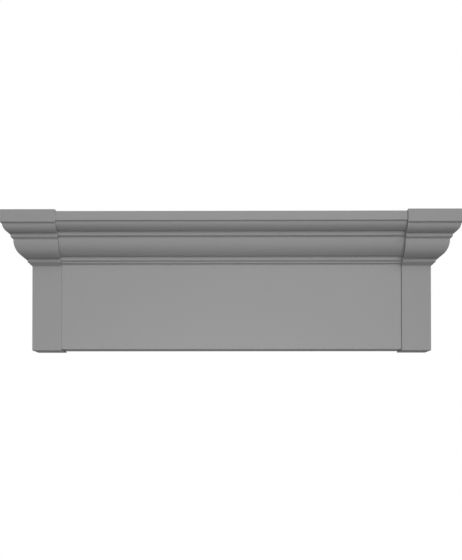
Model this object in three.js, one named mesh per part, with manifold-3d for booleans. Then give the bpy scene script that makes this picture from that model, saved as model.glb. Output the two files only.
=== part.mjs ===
// A crosshead moulding: the moulded header that trims the wall over a window or a door.
// It is three pieces: a long header, and an end cap that sleeves over each of its ends.
// Millimetres. X runs along the length, the face looks along -Y, and Z is up.
// The wall is the plane y = 0, and the origin is the centre of the back, on the middle rib.
import * as THREE from "three";
import { mergeVertices, toCreasedNormals } from "three/addons/utils/BufferGeometryUtils.js";
import Module from "manifold-3d";

const wasm = await Module();
wasm.setup();

// Overall sizes, taken over the end caps
const overallHeight = 228.6;
const friezeLength = 682.6; // along the flat frieze, from one end to the other
const friezeDepth = 35; // from the wall to the frieze of an end cap
const endCapFace = 50.3; // the width of an end cap's frieze
const headerLap = 40; // how far the header runs in under each end cap

// Walls, ribs, and the sliding fit between the header and its end caps
const headerWall = 2.4;
const endCapWall = 2.2;
const slidingClearance = 0.3;
const ribThickness = 2.4;
const ribPitch = 160;

// The crown's members from the frieze up. An out carries the face forward, and a rise carries it up
const toeSoffitOut = 3.3;
const toeSoffitRise = 1.7;
const toeFilletRise = 1.7;
const toeBevelOut = 3.0;
const toeBevelRise = 2.5;
const lowerFilletRise = 5.9;
const lowerLedgeOut = 3.0;
const ledgeRise = 0.2; // the draft that lets a ledge leave the mould
const lowerOvoloOut = 14.1;
const lowerOvoloRise = 27.6;
const middleBevelOut = 3.6;
const middleBevelRise = 2.8;
const middleFilletRise = 6.2;
const middleLedgeOut = 2.8;
const upperOvoloOut = 9.1;
const upperOvoloRise = 12.8;
const fasciaBevelOut = 2.7;
const fasciaBevelRise = 1.5;
const fasciaRise = 15.6;

// How far each ovolo leans from upright, in degrees, where it starts and where it ends
const ovoloFootLean = 58;
const lowerOvoloHeadLean = 0;
const upperOvoloHeadLean = 6;

// How finely curves are faceted, and how far a cutter runs past what it cuts
const curveSteps = 14;
const overcut = 5;
const creaseAngle = THREE.MathUtils.degToRad(24);

// The two steps under the lower fillet of the header. An end cap bridges them with one chamfer
const headerToe = [
  { out: toeSoffitOut, rise: toeSoffitRise },
  { out: 0, rise: toeFilletRise },
  { out: toeBevelOut, rise: toeBevelRise },
];
const endCapToe = [
  {
    out: toeSoffitOut + toeBevelOut,
    rise: toeSoffitRise + toeFilletRise + toeBevelRise,
  },
];

// What lies between the toe and the fascia is the same moulding on all three pieces
const crown = [
  { out: 0, rise: lowerFilletRise },
  { out: lowerLedgeOut, rise: ledgeRise },
  { out: lowerOvoloOut, rise: lowerOvoloRise, headLean: lowerOvoloHeadLean },
  { out: middleBevelOut, rise: middleBevelRise },
  { out: 0, rise: middleFilletRise },
  { out: middleLedgeOut, rise: ledgeRise },
  { out: upperOvoloOut, rise: upperOvoloRise, headLean: upperOvoloHeadLean },
  { out: fasciaBevelOut, rise: fasciaBevelRise },
];

// Sizes that follow from the ones above
const sleeve = slidingClearance + endCapWall; // from the header's surface to the end cap's
const crownRise = [...headerToe, ...crown].reduce((sum, member) => sum + member.rise, fasciaRise);
const crownOut = [...headerToe, ...crown].reduce((sum, member) => sum + member.out, 0);
const headerHeight = overallHeight - 2 * sleeve;
const headerFriezeHeight = headerHeight - crownRise;
const headerFriezeDepth = friezeDepth - sleeve;
const endCapInnerEdge = friezeLength / 2 - endCapFace;
const headerHalfLength = endCapInnerEdge + headerLap;
const ribsPerSide = Math.floor((headerHalfLength - ribPitch / 2) / ribPitch);

// Where the two end tangents of an ovolo meet. Leans are measured from upright
function ovoloShoulder({ out, rise, headLean }) {
  const foot = THREE.MathUtils.degToRad(ovoloFootLean);
  const head = THREE.MathUtils.degToRad(headLean);
  const fromHead = (rise * Math.sin(foot) - out * Math.cos(foot)) / Math.sin(foot - head);
  return { out: out - fromHead * Math.sin(head), rise: rise - fromHead * Math.cos(head) };
}

// The section of the header grown outwards by `grow`, with forward as +x and up as +y.
// It runs back to x = -back, where x = 0 is the wall.
function section(grow, toe, back) {
  const bottom = -headerHeight / 2 - grow;
  const shape = new THREE.Shape();
  let x = headerFriezeDepth + grow;
  let y = bottom + headerFriezeHeight;
  shape.moveTo(-back, bottom);
  shape.lineTo(x, bottom);
  shape.lineTo(x, y);
  for (const member of [...toe, ...crown]) {
    if ("headLean" in member) {
      const shoulder = ovoloShoulder(member);
      shape.quadraticCurveTo(
        x + shoulder.out,
        y + shoulder.rise,
        x + member.out,
        y + member.rise,
      );
    } else {
      shape.lineTo(x + member.out, y + member.rise);
    }
    x += member.out;
    y += member.rise;
  }
  shape.lineTo(x, headerHeight / 2 + grow);
  shape.lineTo(-back, headerHeight / 2 + grow);
  shape.closePath();
  return shape;
}

function solidFrom(geometry) {
  const plain = geometry.clone();
  plain.deleteAttribute("normal");
  plain.deleteAttribute("uv");
  const merged = mergeVertices(plain, 1e-4);
  return new wasm.Manifold(
    new wasm.Mesh({
      numProp: 3,
      vertProperties: merged.attributes.position.array,
      triVerts: new Uint32Array(merged.index.array),
    }),
  );
}

// A section drawn along X, with its forward side to the front
function alongLength(shape, fromX, toX) {
  const geometry = new THREE.ExtrudeGeometry(shape, {
    depth: toX - fromX,
    bevelEnabled: false,
    curveSegments: curveSteps,
  });
  geometry.applyMatrix4(
    new THREE.Matrix4()
      .makeBasis(
        new THREE.Vector3(0, -1, 0),
        new THREE.Vector3(0, 0, 1),
        new THREE.Vector3(-1, 0, 0),
      )
      .setPosition(toX, 0, 0),
  );
  return solidFrom(geometry);
}

// A section drawn along Y, with its forward side to the right and its own wall side at wallX
function alongReturn(shape, wallX, frontY, backY) {
  const geometry = new THREE.ExtrudeGeometry(shape, {
    depth: backY - frontY,
    bevelEnabled: false,
    curveSegments: curveSteps,
  });
  geometry.applyMatrix4(
    new THREE.Matrix4()
      .makeBasis(
        new THREE.Vector3(1, 0, 0),
        new THREE.Vector3(0, 0, 1),
        new THREE.Vector3(0, -1, 0),
      )
      .setPosition(wallX, backY, 0),
  );
  return solidFrom(geometry);
}

// The right-hand corner of the moulding as a full block: the front and the return meet in a mitre
function mitredEnd(grow, toe, cut) {
  const reach = friezeDepth + crownOut + grow + overcut;
  const pastEdge = endCapFace - friezeDepth + cut;
  const front = alongLength(
    section(grow, toe, cut),
    endCapInnerEdge - cut - overcut,
    friezeLength / 2 + reach,
  );
  const side = alongReturn(
    section(grow, toe, pastEdge),
    friezeLength / 2 - friezeDepth,
    -reach,
    cut + overcut,
  );
  return front.intersect(side);
}

// The end cap is a shell, open to the wall and towards the header
function rightEndCap() {
  return mitredEnd(sleeve, endCapToe, 0).subtract(
    mitredEnd(slidingClearance, headerToe, overcut),
  );
}

// The header is a shell, open at the back and at both ends, and stiffened by upright ribs
function headerSolid() {
  const outside = alongLength(section(0, headerToe, 0), -headerHalfLength, headerHalfLength);
  const inside = alongLength(
    section(-headerWall, headerToe, overcut),
    -headerHalfLength - overcut,
    headerHalfLength + overcut,
  );
  let shell = outside.subtract(inside);
  for (let i = -ribsPerSide; i <= ribsPerSide; i++) {
    const middle = i * ribPitch;
    const rib = alongLength(
      section(-headerWall / 2, headerToe, 0),
      middle - ribThickness / 2,
      middle + ribThickness / 2,
    );
    shell = shell.add(rib);
  }
  return shell;
}

function geometryFrom(solid) {
  const { vertProperties, triVerts } = solid.getMesh();
  const geometry = new THREE.BufferGeometry();
  geometry.setAttribute("position", new THREE.BufferAttribute(vertProperties, 3));
  geometry.setIndex(new THREE.BufferAttribute(triVerts, 1));
  return toCreasedNormals(geometry, creaseAngle);
}

// The same shape on the other side of x = 0, with each triangle turned to face outwards again
function mirrored(geometry) {
  const copy = geometry.clone();
  copy.applyMatrix4(new THREE.Matrix4().makeScale(-1, 1, 1));
  for (const attribute of [copy.attributes.position, copy.attributes.normal]) {
    for (let i = 0; i < attribute.count; i += 3) {
      const swapped = new THREE.Vector3().fromBufferAttribute(attribute, i + 1);
      const kept = new THREE.Vector3().fromBufferAttribute(attribute, i + 2);
      attribute.setXYZ(i + 1, kept.x, kept.y, kept.z);
      attribute.setXYZ(i + 2, swapped.x, swapped.y, swapped.z);
    }
  }
  return copy;
}

// Matt grey vinyl, the end caps a shade darker than the header
const headerVinyl = new THREE.MeshStandardMaterial({
  color: 0x979797,
  roughness: 0.62,
  metalness: 0,
});
const endCapVinyl = new THREE.MeshStandardMaterial({
  color: 0x929292,
  roughness: 0.62,
  metalness: 0,
});

function piece(name, geometry, material) {
  const mesh = new THREE.Mesh(geometry, material);
  mesh.name = name;
  return mesh;
}

const endCapGeometry = geometryFrom(rightEndCap());
const crosshead = new THREE.Group();
crosshead.add(
  piece("header", geometryFrom(headerSolid()), headerVinyl),
  piece("end_cap_left", mirrored(endCapGeometry), endCapVinyl),
  piece("end_cap_right", endCapGeometry, endCapVinyl),
);

export default crosshead;
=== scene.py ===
# %% [markdown]
# # A crosshead moulding
# A crosshead is the header that trims the wall over a window or a door. This one is moulded in
# vinyl in three pieces: a long header, and an end cap that sleeves over each end of it. The solids
# in the frame already hold the sizes. Here each piece is modelled again with finer curves and
# softened corners, and gets the finish of matt grey vinyl.

# %% Load the frame and keep its box
import math

import bmesh
import bpy
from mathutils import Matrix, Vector


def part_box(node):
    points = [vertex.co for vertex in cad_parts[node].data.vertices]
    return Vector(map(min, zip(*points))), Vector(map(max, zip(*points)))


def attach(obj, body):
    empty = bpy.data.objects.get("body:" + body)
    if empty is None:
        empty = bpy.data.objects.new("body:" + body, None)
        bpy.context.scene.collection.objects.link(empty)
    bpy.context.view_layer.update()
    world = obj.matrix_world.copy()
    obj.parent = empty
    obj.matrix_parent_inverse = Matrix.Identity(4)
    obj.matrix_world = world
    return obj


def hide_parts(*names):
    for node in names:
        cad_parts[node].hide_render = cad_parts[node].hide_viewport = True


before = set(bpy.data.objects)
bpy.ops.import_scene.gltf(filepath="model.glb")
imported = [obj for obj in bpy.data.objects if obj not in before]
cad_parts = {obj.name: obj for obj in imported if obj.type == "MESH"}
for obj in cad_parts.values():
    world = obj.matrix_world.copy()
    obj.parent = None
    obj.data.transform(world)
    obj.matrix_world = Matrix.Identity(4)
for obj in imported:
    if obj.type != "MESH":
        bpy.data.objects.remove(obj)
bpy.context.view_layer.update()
MM = 0.001
TINY = 0.02 * MM

# %% [markdown]
# ## The camera
# The photograph was taken from close by and from below the moulding, so its underside shows, and
# its crown, which is nearer than its frieze, looks larger than it is. The camera could be tilted up
# at it, but then the uprights would lean together. Raising the lens with a shift keeps them
# parallel. The half degree of tilt and the quarter degree of turn are the photograph's own.

# %% Place the camera
CAMERA_PLACE = (0.0046, -1.1242, -0.2460)
CAMERA_TILT = math.radians(90.48)
CAMERA_TURN = math.radians(0.28)
NEAREST_SEEN = 0.01
FARTHEST_SEEN = 50
PICTURE_HEIGHT = 560
FOCAL_PIXELS = 638
SENSOR_MM = 36
LENS_RAISE_PIXELS = 142.1

bpy.ops.object.select_all(action="DESELECT")
bpy.ops.object.camera_add(location=CAMERA_PLACE, rotation=(CAMERA_TILT, 0, CAMERA_TURN))
camera = bpy.context.object
camera.name = "photograph_camera"
camera.data.sensor_width = SENSOR_MM
camera.data.lens = FOCAL_PIXELS * SENSOR_MM / PICTURE_HEIGHT
camera.data.shift_y = LENS_RAISE_PIXELS / PICTURE_HEIGHT
camera.data.clip_start = NEAREST_SEEN
camera.data.clip_end = FARTHEST_SEEN
bpy.context.scene.camera = camera
print("lens", round(camera.data.lens, 2), "mm")

# %% [markdown]
# ## Selecting by place
# An operator works on whatever is selected, so each step first selects what it needs. In edit
# mode an edge is chosen when both its ends pass a test on their place, the way a box select
# would choose it. The choice can be kept to corners, where the two faces really turn.


# %% Helpers for selecting and for edit mode
def only(piece):
    bpy.ops.object.select_all(action="DESELECT")
    piece.select_set(True)
    bpy.context.view_layer.objects.active = piece


def edit(piece, pick_all=True):
    only(piece)
    bpy.ops.object.mode_set(mode="EDIT")
    bpy.ops.mesh.select_mode(type="EDGE")
    bpy.ops.mesh.select_all(action="SELECT" if pick_all else "DESELECT")


def done():
    bpy.ops.object.mode_set(mode="OBJECT")


def pick_edges(test, least_turn=0):
    bpy.ops.mesh.select_all(action="DESELECT")
    mesh = bpy.context.object.data
    bm = bmesh.from_edit_mesh(mesh)
    for edge in bm.edges:
        turns = edge.calc_face_angle(math.pi) >= least_turn
        edge.select = turns and all(test(vert.co) for vert in edge.verts)
    bm.select_flush_mode()
    bmesh.update_edit_mesh(mesh)


def finish_modifier(piece, kind, **settings):
    only(piece)
    modifier = piece.modifiers.new(kind.lower(), kind)
    for name, value in settings.items():
        setattr(modifier, name, value)
    bpy.ops.object.modifier_apply(modifier=modifier.name)


# %% [markdown]
# ## The profile of the crown
# A moulding is a profile drawn along a length. The profile is written as its members, from the
# frieze up, in millimetres: a straight member goes out and up by so much, and an ovolo is a convex
# curve. A good ovolo isn't one arc of a circle: it bends more in one half than in the other, so it
# is drawn as two arcs that share a tangent at the waist. The three leans are those of its foot, its
# waist and its head, in degrees from upright. The end caps come from a mould of their own: their
# steps sit a little lower than the header's, and one chamfer takes the place of its two lowest
# steps. So each has its own list, and in both the crown stands forward by the same amount.

# %% The members of the header and of the end caps
header_members = [
    ("straight", 0, 145.4),
    ("straight", 2.9, 1.7),
    ("straight", 0, 1.8),
    ("straight", 2.9, 2.4),
    ("straight", 0, 6.8),
    ("straight", 2.9, 0.2),
    ("ovolo", 14.4, 27.4, (58, 20, 0)),
    ("straight", 3.7, 2.3),
    ("straight", 0, 7.1),
    ("straight", 2.9, 0.2),
    ("ovolo", 9.4, 12.0, (70, 28, 0)),
    ("straight", 2.5, 1.2),
]
end_cap_members = [
    ("straight", 0, 144.5),
    ("straight", 6.4, 5.8),
    ("straight", 0, 6.2),
    ("straight", 3.2, 0.2),
    ("ovolo", 14.9, 27.1, (70, 26, -2)),
    ("straight", 3.5, 3.2),
    ("straight", 0, 6.3),
    ("straight", 2.7, 0.2),
    ("ovolo", 8.0, 12.4, (68, 24, 3)),
    ("straight", 2.9, 1.9),
]
crown_out = sum(member[1] for member in header_members)
print("the crown stands", round(crown_out, 1), "mm forward of the frieze")

# %% [markdown]
# ## Drawing a profile by extruding
# The sheet starts as a flat plane, the underside. Its front edge is then extruded member by member
# up the frieze and the crown, and at last back to the wall along the top. A straight member is one
# extrude, and an arc is one spin round the arc's own centre.

# %% Extrude an edge along the members
ARC_STEP = 1.35 * MM


def pull(out, rise):
    bpy.ops.mesh.extrude_region_move(TRANSFORM_OT_translate={"value": (0, -out, rise)})
    return Vector((out, rise))


def swing(place, radius, foot_lean, head_lean):
    centre = place + radius * Vector((-math.cos(foot_lean), math.sin(foot_lean)))
    turn = foot_lean - head_lean
    bpy.ops.mesh.spin(
        steps=max(2, round(radius * turn / ARC_STEP)),
        angle=turn,
        center=(0, -centre.x, centre.y),
        axis=(1, 0, 0),
    )
    return centre + radius * Vector((math.cos(head_lean), -math.sin(head_lean)))


def pull_ovolo(place, out, rise, leans):
    foot, waist, head = [math.radians(lean) for lean in leans]
    low_out, high_out = math.cos(waist) - math.cos(foot), math.cos(head) - math.cos(waist)
    low_rise, high_rise = math.sin(foot) - math.sin(waist), math.sin(waist) - math.sin(head)
    spread = low_out * high_rise - high_out * low_rise
    low_radius = (out * high_rise - rise * high_out) / spread
    high_radius = (rise * low_out - out * low_rise) / spread
    print("ovolo radii", round(low_radius / MM, 1), "and", round(high_radius / MM, 1), "mm")
    return swing(swing(place, low_radius, foot, waist), high_radius, waist, head)


def face_outwards(sheet):
    edit(sheet)
    bpy.ops.mesh.normals_make_consistent(inside=False)
    done()
    top = max(sheet.data.polygons, key=lambda face: face.center.z)
    if top.normal.z < 0:
        edit(sheet)
        bpy.ops.mesh.flip_normals()
        done()


def moulding_sheet(name, low, high, members):
    depth = -low.y - crown_out * MM
    bpy.ops.object.select_all(action="DESELECT")
    bpy.ops.mesh.primitive_plane_add(
        size=1, location=((low.x + high.x) / 2, -depth / 2, low.z)
    )
    sheet = bpy.context.object
    sheet.name = name
    sheet.scale = (high.x - low.x, depth, 1)
    bpy.ops.object.transform_apply(location=True, rotation=True, scale=True)
    edit(sheet)
    pick_edges(lambda co: co.y < -depth + TINY)
    place = Vector((depth, low.z))
    for kind, out, rise, *leans in members:
        if kind == "ovolo":
            place = pull_ovolo(place, out * MM, rise * MM, *leans)
        else:
            place += pull(out * MM, rise * MM)
    place += pull(0, high.z - place.y)
    place += pull(-place.x, 0)
    done()
    print(name, "is drawn in", len(sheet.data.polygons), "strips")
    return sheet


# %% [markdown]
# ## From a sheet to a moulded shell
# A sheet has no thickness. Solidify gives the header's sheet its wall, inwards, so that the outside
# keeps its place. (An end cap gets a second sheet for its inside instead, since that has to fit the
# header.) A mould can't make a knife edge, so every real corner is then softened by a small bevel.
# The bevel puts its own faces in a second material slot, and these are remembered in an attribute,
# because a handled edge is a little smoother than the grained face beside it. The same attribute
# makes the edges a lighter grey, partly as worn vinyl and partly as a painted highlight where the
# rounded edges catch the light.

# %% Wall, softened corners and shading
SOFT_ANGLE = math.radians(28)
SHADE_ANGLE = math.radians(35)
CORNER_STEPS = 3
EDGE_SLOT = 1


def give_wall(sheet, wall):
    face_outwards(sheet)
    finish_modifier(
        sheet,
        "SOLIDIFY",
        thickness=wall,
        offset=-1,
        use_even_offset=True,
        use_quality_normals=True,
    )


def add_slots(piece):
    for slot in ("face", "edge"):
        piece.data.materials.append(bpy.data.materials.new(slot))


def soften(piece, radius):
    finish_modifier(
        piece,
        "BEVEL",
        width=radius,
        segments=CORNER_STEPS,
        limit_method="ANGLE",
        angle_limit=SOFT_ANGLE,
        use_clamp_overlap=False,
        material=EDGE_SLOT,
    )


def remember_edges(piece):
    mesh = piece.data
    eased = mesh.attributes.new("eased", "FLOAT", "CORNER")
    for face in mesh.polygons:
        for corner in face.loop_indices:
            eased.data[corner].value = face.material_index
        face.material_index = 0
    mesh.materials.clear()


def shade(piece):
    only(piece)
    bpy.ops.object.shade_smooth_by_angle(angle=SHADE_ANGLE)
    finish_modifier(piece, "WEIGHTED_NORMAL", keep_sharp=True)


print("corners that turn more than", round(math.degrees(SOFT_ANGLE)), "degrees are softened")

# %% [markdown]
# ## The header
# The header is one long shell, open at the back and at its ends. Upright ribs join its front to
# its top and bottom, and their rear edges rest on the wall. A rib is the header's own section, a
# little smaller, so that it stops inside the thickness of the wall that it stiffens.

# %% Draw the header's sheet, and take its ribs from the same profile
HEADER_WALL = 2.4 * MM
RIB_THICKNESS = 2.4 * MM
RIB_PITCH = 160 * MM

header_low, header_high = (Vector(corner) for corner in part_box("header"))
header = moulding_sheet("header_shell", header_low, header_high, header_members)


def first_rib(sheet):
    bite = HEADER_WALL / 2
    edit(sheet)
    pick_edges(lambda co: co.x > header_high.x - TINY)
    bpy.ops.mesh.duplicate()
    bpy.ops.mesh.separate(type="SELECTED")
    done()
    rib = next(o for o in bpy.context.selected_objects if o != sheet)
    rib.name = "rib"
    edit(rib)
    bpy.ops.mesh.edge_face_add()
    bpy.ops.mesh.select_mode(type="FACE")
    bpy.ops.mesh.select_all(action="SELECT")
    bpy.ops.mesh.inset(thickness=bite)
    bpy.ops.mesh.select_all(action="INVERT")
    bpy.ops.mesh.delete(type="FACE")
    bpy.ops.mesh.select_mode(type="EDGE")
    pick_edges(lambda co: co.y > -bite - TINY)
    bpy.ops.transform.translate(value=(0, bite, 0))
    bpy.ops.mesh.select_all(action="SELECT")
    bpy.ops.mesh.extrude_region_move(TRANSFORM_OT_translate={"value": (-RIB_THICKNESS, 0, 0)})
    bpy.ops.mesh.select_all(action="SELECT")
    bpy.ops.mesh.normals_make_consistent(inside=False)
    bpy.ops.transform.translate(value=(RIB_THICKNESS / 2 - header_high.x, 0, 0))
    done()
    return rib


rib = first_rib(header)
print("a rib has", len(rib.data.polygons), "faces")

# %% [markdown]
# The ribs belong to the same moulding, so they are joined to the shell and not just pushed into
# it. Each copy of the first rib is moved to its place and added by a Boolean union. Corners are
# softened before that, because a bevel can't follow the small scraps of face that a Boolean leaves.

# %% Give the header its wall and join the ribs to it
HEADER_SOFTNESS = 0.4 * MM
RIB_SOFTNESS = 0.4 * MM
ribs_per_side = int((header_high.x - RIB_PITCH / 2) / RIB_PITCH)

give_wall(header, HEADER_WALL)
for piece, softness in ((header, HEADER_SOFTNESS), (rib, RIB_SOFTNESS)):
    add_slots(piece)
    soften(piece, softness)
for i in range(-ribs_per_side, ribs_per_side + 1):
    only(rib)
    bpy.ops.object.duplicate()
    copy = bpy.context.object
    copy.location.x = i * RIB_PITCH
    bpy.ops.object.transform_apply(location=True, rotation=True, scale=True)
    finish_modifier(header, "BOOLEAN", object=copy, operation="UNION", solver="MANIFOLD")
    bpy.data.objects.remove(copy)
bpy.data.objects.remove(rib)
remember_edges(header)
shade(header)
print("the header has", len(header.data.polygons), "faces")

# %% [markdown]
# ## The end caps
# A joiner returns a moulding round a corner with a mitre: two lengths of the same profile, each
# cut at 45 degrees. The cap is made the same way. A short length is drawn and cut by bisect, and
# a mirror across the mitre makes the return, which is then cut off at the wall. The inside of a
# cap slides over the header, so it is drawn with the header's members, grown by the clearance.

# %% Draw both sides of the right end cap and return them to the wall
SLIDING_CLEARANCE = 0.3 * MM

right_low, right_high = (Vector(corner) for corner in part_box("end_cap_right"))
mitre_x = right_high.x + right_low.y
inner_low = Vector(
    (right_low.x, header_low.y - SLIDING_CLEARANCE, header_low.z - SLIDING_CLEARANCE)
)
inner_high = Vector((mitre_x - inner_low.y, 0, header_high.z + SLIDING_CLEARANCE))


def cut_off(piece, place, normal):
    edit(piece)
    bpy.ops.mesh.bisect(plane_co=place, plane_no=normal, clear_outer=True)
    done()


def mitred_sheet(name, low, high, members):
    sheet = moulding_sheet(name, low, high, members)
    mitre = (mitre_x, 0, 0)
    cut_off(sheet, mitre, (1, 1, 0))
    bpy.ops.object.empty_add(location=mitre, rotation=(0, 0, math.radians(45)))
    across = bpy.context.object
    finish_modifier(
        sheet, "MIRROR", mirror_object=across, use_mirror_merge=True, merge_threshold=TINY
    )
    bpy.data.objects.remove(across)
    cut_off(sheet, (0, 0, 0), (0, 1, 0))
    return sheet


right_cap = mitred_sheet("end_cap_right_shell", right_low, right_high, end_cap_members)
inside = mitred_sheet("inside", inner_low, inner_high, header_members)

# %% [markdown]
# The two sheets become one shell when their rims are closed. There are two rims, one against the
# wall and one towards the header, and each is a single flat face. They share an edge at the top
# and one at the bottom, where the rims meet, so those two edges are made first.

# %% Join the two sheets and close their rims


def pick_verts(test):
    bpy.ops.mesh.select_all(action="DESELECT")
    mesh = bpy.context.object.data
    bm = bmesh.from_edit_mesh(mesh)
    for vert in bm.verts:
        vert.select = test(vert.co)
    bmesh.update_edit_mesh(mesh)


def on_wall(co):
    return co.y > -TINY


def on_inner_end(co):
    return co.x < right_low.x + TINY


only(right_cap)
inside.select_set(True)
bpy.ops.object.join()
edit(right_cap)
bpy.ops.mesh.select_mode(type="VERT")
for side in (-1, 1):
    pick_verts(lambda co: on_wall(co) and on_inner_end(co) and co.z * side > 0)
    bpy.ops.mesh.edge_face_add()
bpy.ops.mesh.select_mode(type="EDGE")
for on_rim in (on_inner_end, on_wall):
    pick_edges(on_rim)
    bpy.ops.mesh.edge_face_add()
bpy.ops.mesh.select_all(action="SELECT")
bpy.ops.mesh.normals_make_consistent(inside=False)
done()
print("the rims are closed on", len(right_cap.data.polygons), "faces")

# %% [markdown]
# In the photograph the corner where front and return meet looks rounder than the long edges. So the
# edges down the mitre are bevelled first, with a larger radius, and then all the other corners are
# softened as on the header.

# %% Round the mitre and soften the corners
END_CAP_SOFTNESS = 0.8 * MM
MITRE_SOFTNESS = 1.6 * MM
MITRE_STEPS = 4


def round_mitre(piece):
    edit(piece)
    pick_edges(lambda co: abs(co.x + co.y - mitre_x) < TINY, SOFT_ANGLE)
    bpy.ops.mesh.bevel(
        offset=MITRE_SOFTNESS, segments=MITRE_STEPS, clamp_overlap=False, material=EDGE_SLOT
    )
    done()


add_slots(right_cap)
round_mitre(right_cap)
soften(right_cap, END_CAP_SOFTNESS)
remember_edges(right_cap)
print("an end cap has", len(right_cap.data.polygons), "faces")

# %% [markdown]
# The left end cap is the same piece the other way round. A copy is scaled by -1 along the length
# and the scale is applied, which turns its faces inside out, so its normals are made to point
# outwards again. A Mirror modifier would make one object of the two caps, and they are two pieces.

# %% Mirror it to make the left end cap
only(right_cap)
bpy.ops.object.duplicate()
left_cap = bpy.context.object
left_cap.name = "end_cap_left_shell"
left_cap.scale.x = -1
bpy.ops.object.transform_apply(location=True, rotation=True, scale=True)
edit(left_cap)
bpy.ops.mesh.normals_make_consistent(inside=False)
done()
for cap in (left_cap, right_cap):
    shade(cap)
print("the left end cap has", len(left_cap.data.polygons), "faces")

# %% [markdown]
# ## Finishes shared by the three pieces
# Two effects are node groups, so that every finish uses the same ones with its own values. The
# grain is the fine matt texture of the mould, with a slow drift of tone that moulded vinyl always
# has. The eased edge reads the attribute that was kept from the bevel.

# %% Helpers for node groups


def new_group(name, inputs, outputs):
    group = bpy.data.node_groups.new(name, "ShaderNodeTree")
    for label, kind in inputs:
        group.interface.new_socket(label, in_out="INPUT", socket_type=kind)
    for label, kind in outputs:
        group.interface.new_socket(label, in_out="OUTPUT", socket_type=kind)
    return group, group.nodes.new("NodeGroupInput"), group.nodes.new("NodeGroupOutput")


def feed(tree, socket, source):
    if isinstance(source, bpy.types.NodeSocket):
        tree.links.new(source, socket)
    else:
        socket.default_value = source


def noise(tree, place, scale, detail):
    node = tree.nodes.new("ShaderNodeTexNoise")
    feed(tree, node.inputs["Vector"], place)
    feed(tree, node.inputs["Scale"], scale)
    feed(tree, node.inputs["Detail"], detail)
    return node.outputs["Fac"]


# %% Build the grain and the eased edge
DRIFTS_PER_METRE = 7
GRAIN_DETAIL = 2
DRIFT_DETAIL = 1
LEVEL_HEIGHT = 0.5

grain_group, given, put = new_group(
    "moulded_grain",
    [("Place", "NodeSocketVector"), ("Fineness", "NodeSocketFloat")],
    [("Height", "NodeSocketFloat"), ("Drift", "NodeSocketFloat")],
)
place = given.outputs["Place"]
fine = noise(grain_group, place, given.outputs["Fineness"], GRAIN_DETAIL)
slow = noise(grain_group, place, DRIFTS_PER_METRE, DRIFT_DETAIL)
grain_group.links.new(fine, put.inputs["Height"])
grain_group.links.new(slow, put.inputs["Drift"])

edge_group, given, put = new_group(
    "eased_edge",
    [("Amount", "NodeSocketFloat"), ("Grain", "NodeSocketFloat")],
    [("Mask", "NodeSocketFloat"), ("Height", "NodeSocketFloat")],
)
kept = edge_group.nodes.new("ShaderNodeAttribute")
kept.attribute_name = "eased"
mask = edge_group.nodes.new("ShaderNodeMath")
mask.operation = "MULTIPLY"
edge_group.links.new(kept.outputs["Fac"], mask.inputs[0])
edge_group.links.new(given.outputs["Amount"], mask.inputs[1])
smooth = edge_group.nodes.new("ShaderNodeMix")
smooth.inputs["B"].default_value = LEVEL_HEIGHT
edge_group.links.new(mask.outputs[0], smooth.inputs["Factor"])
edge_group.links.new(given.outputs["Grain"], smooth.inputs["A"])
edge_group.links.new(mask.outputs[0], put.inputs["Mask"])
edge_group.links.new(smooth.outputs["Result"], put.inputs["Height"])
print("node groups:", grain_group.name, "and", edge_group.name)

# %% [markdown]
# ## Matt grey vinyl
# The end caps come from another mould and are a shade darker than the header, so each has its own
# material, made by one function. Tone drifts slowly between two close greys, the eased edges are a
# touch lighter, partly as worn vinyl and partly as a painted highlight where the rounded edges
# catch the light, and the grain is a very shallow bump.

# %% Helpers that put a node group to use and mix two greys


def grey(value):
    return (value, value, value, 1)


def place_group(tree, group, **sources):
    node = tree.nodes.new("ShaderNodeGroup")
    node.node_tree = group
    for label, source in sources.items():
        feed(tree, node.inputs[label], source)
    return node.outputs


def mix_colours(tree, amount, first, second):
    node = tree.nodes.new("ShaderNodeMix")
    node.data_type = "RGBA"
    feed(tree, node.inputs["Factor"], amount)
    feed(tree, node.inputs["A"], first)
    feed(tree, node.inputs["B"], second)
    return node.outputs["Result"]


# %% Make the two vinyls
SHEEN_LEVEL = 0.35
GRAINS_PER_METRE = 1500
EDGE_AMOUNT = 0.8
FACE_ROUGHNESS = 0.66
EDGE_ROUGHNESS = 0.52
GRAIN_STRENGTH = 0.12
GRAIN_DEPTH = 0.05 * MM


def vinyl(name, dark, light, edge):
    material = bpy.data.materials.new(name)
    material.use_nodes = True
    tree = material.node_tree
    surface = tree.nodes["Principled BSDF"].inputs
    surface["Specular IOR Level"].default_value = SHEEN_LEVEL
    place = tree.nodes.new("ShaderNodeTexCoord").outputs["Object"]
    grain = place_group(tree, grain_group, Place=place, Fineness=GRAINS_PER_METRE)
    eased = place_group(tree, edge_group, Amount=EDGE_AMOUNT, Grain=grain["Height"])

    tone = mix_colours(tree, grain["Drift"], grey(dark), grey(light))
    # The eased edges take a lighter grey: partly worn vinyl, partly a painted highlight on the
    # rounded edges.
    edge_wear_and_highlight = mix_colours(tree, eased["Mask"], tone, grey(edge))
    tree.links.new(edge_wear_and_highlight, surface["Base Color"])

    rough = tree.nodes.new("ShaderNodeMapRange")
    rough.inputs["To Min"].default_value = FACE_ROUGHNESS
    rough.inputs["To Max"].default_value = EDGE_ROUGHNESS
    tree.links.new(eased["Mask"], rough.inputs["Value"])
    tree.links.new(rough.outputs["Result"], surface["Roughness"])

    bump = tree.nodes.new("ShaderNodeBump")
    bump.inputs["Strength"].default_value = GRAIN_STRENGTH
    bump.inputs["Distance"].default_value = GRAIN_DEPTH
    tree.links.new(eased["Height"], bump.inputs["Height"])
    tree.links.new(bump.outputs["Normal"], surface["Normal"])
    return material


# The edge grey is lighter than the faces: partly wear, partly a painted highlight where the edges
# catch the light.
header_vinyl = vinyl("header_vinyl", dark=0.300, light=0.312, edge=0.330)
end_cap_vinyl = vinyl("end_cap_vinyl", dark=0.288, light=0.300, edge=0.318)
print("made", header_vinyl.name, "and", end_cap_vinyl.name)
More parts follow.
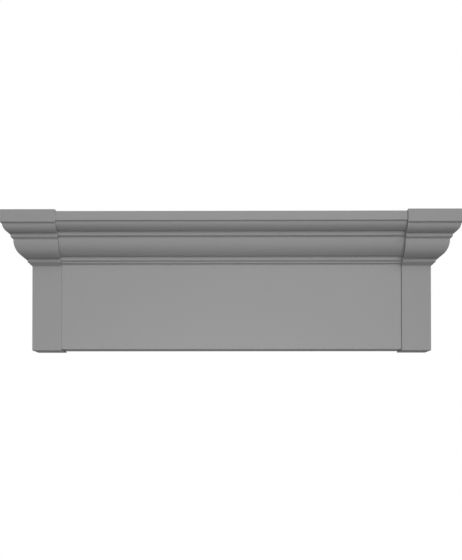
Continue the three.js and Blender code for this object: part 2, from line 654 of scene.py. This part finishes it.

# %% [markdown]
# Each shell now takes the place of its solid. It rides on the same body, so it moves as the solid
# would.

# %% Put the vinyl on, and let each shell stand for its solid
for piece, material, node, slot in (
    (header, header_vinyl, "header", "header_vinyl"),
    (left_cap, end_cap_vinyl, "end_cap_left", "end_cap_vinyl"),
    (right_cap, end_cap_vinyl, "end_cap_right", "end_cap_vinyl"),
):
    piece.data.materials.append(material)
    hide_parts(node)
    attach(piece, "root")
    print(piece.name, "stands for", node)

# %% [markdown]
# ## The floor and the light
# The photograph has a plain white ground. The sweep is one sheet: a floor that bends up behind the
# moulding, so that no line shows where they meet. The bend is a spin of the floor's rear edge.

# %% Make the sweep
BEND_STEPS = 16
FLOOR_Z = -1.3
SWEEP_BACK = 2.4
SWEEP_BEND = 0.8
SWEEP_HALF_WIDTH = 5
SWEEP_FRONT = -4
SWEEP_HEIGHT = 3

bpy.ops.object.select_all(action="DESELECT")
bpy.ops.mesh.primitive_plane_add(
    size=1, location=(0, (SWEEP_FRONT + SWEEP_BACK - SWEEP_BEND) / 2, FLOOR_Z)
)
sweep = bpy.context.object
sweep.name = "paper_sweep"
sweep.scale = (2 * SWEEP_HALF_WIDTH, SWEEP_BACK - SWEEP_BEND - SWEEP_FRONT, 1)
bpy.ops.object.transform_apply(location=True, rotation=True, scale=True)
edit(sweep)
pick_edges(lambda co: co.y > SWEEP_BACK - SWEEP_BEND - TINY)
bpy.ops.mesh.spin(
    steps=BEND_STEPS,
    angle=math.radians(-90),
    center=(0, SWEEP_BACK - SWEEP_BEND, FLOOR_Z + SWEEP_BEND),
    axis=(1, 0, 0),
)
bpy.ops.mesh.extrude_region_move(TRANSFORM_OT_translate={"value": (0, 0, SWEEP_HEIGHT)})
done()
bpy.ops.object.shade_smooth()
print("the sweep has", len(sweep.data.polygons), "faces")

# %% [markdown]
# White paper as bright as the photograph's would flood the moulding with light from below. So the
# camera sees the sweep as clean white paper, and to all other light it is a duller surface that
# throws only a little light back up under the crown.

# %% Lay white paper on the sweep
PAPER_GREY = 0.35


def unless_seen(tree, unseen, seen, output):
    rays = tree.nodes.new("ShaderNodeLightPath")
    which = tree.nodes.new("ShaderNodeMixShader")
    tree.links.new(rays.outputs["Is Camera Ray"], which.inputs["Fac"])
    tree.links.new(unseen, which.inputs[1])
    tree.links.new(seen, which.inputs[2])
    tree.links.new(which.outputs["Shader"], tree.nodes[output].inputs["Surface"])


paper = bpy.data.materials.new("white_paper")
paper.use_nodes = True
tree = paper.node_tree
tree.nodes.remove(tree.nodes["Principled BSDF"])
pale = tree.nodes.new("ShaderNodeBsdfDiffuse")
pale.inputs["Color"].default_value = grey(PAPER_GREY)
white = tree.nodes.new("ShaderNodeEmission")
unless_seen(tree, pale.outputs["BSDF"], white.outputs["Emission"], "Material Output")
sweep.data.materials.append(paper)
print("the sweep is covered in", paper.name)

# %% [markdown]
# ## Soft light
# The frieze is as bright at one end as at the other, so the main light is far away: a sun with a
# wide disc, above and in front and a little to the right, gives the faces their tone and lets the
# undersides of the curves fall away. A glowing card below the middle lifts those undersides, more
# there than at the ends. A weak sun from the side and a card behind are for the other views: they
# light the returns and the hollow back.

# %% Suns and cards


def point_at(lamp, place, target):
    away = Vector(target) - Vector(place)
    lamp.rotation_euler = away.to_track_quat("-Z", "Y").to_euler()


def soft_sun(name, place, strength, disc_degrees):
    bpy.ops.object.select_all(action="DESELECT")
    bpy.ops.object.light_add(type="SUN", location=place)
    sun = bpy.context.object
    sun.name = name
    sun.data.energy = strength
    sun.data.angle = math.radians(disc_degrees)
    point_at(sun, place, (0, 0, 0))


def glowing_card(name, place, target, size, power):
    bpy.ops.object.select_all(action="DESELECT")
    bpy.ops.object.light_add(type="AREA", location=place)
    card = bpy.context.object
    card.name = name
    card.data.shape = "RECTANGLE"
    card.data.size, card.data.size_y = size
    card.data.energy = power
    card.visible_camera = False
    point_at(card, place, target)


soft_sun("key_sun", place=(1.1, -4.0, 3.15), strength=2.45, disc_degrees=45)
soft_sun("side_sun", place=(3.0, 0.4, 0.9), strength=0.9, disc_degrees=30)
glowing_card("low_card", place=(0, -0.4, -0.48), target=(0, 0, 0.05), size=(0.5, 0.25), power=0.85)
glowing_card("back_card", place=(-0.6, 1.3, 0.5), target=(0, 0, 0), size=(1.0, 0.7), power=11)

# %% [markdown]
# The sky around is an even, weak fill, and like the paper it is clean white where the camera sees
# it. The Standard view shows the greys as they are, where a film-like one would bend them.

# %% Fill the sky
FILL = 0.18

world = bpy.data.worlds.new("studio")
bpy.context.scene.world = world
world.use_nodes = True
tree = world.node_tree
fill = tree.nodes["Background"]
clean = tree.nodes.new("ShaderNodeBackground")
for background in (fill, clean):
    background.inputs["Color"].default_value = grey(1)
fill.inputs["Strength"].default_value = FILL
unless_seen(tree, fill.outputs["Background"], clean.outputs["Background"], "World Output")
bpy.context.scene.view_settings.view_transform = "Standard"
print("the sky fills with a strength of", FILL)
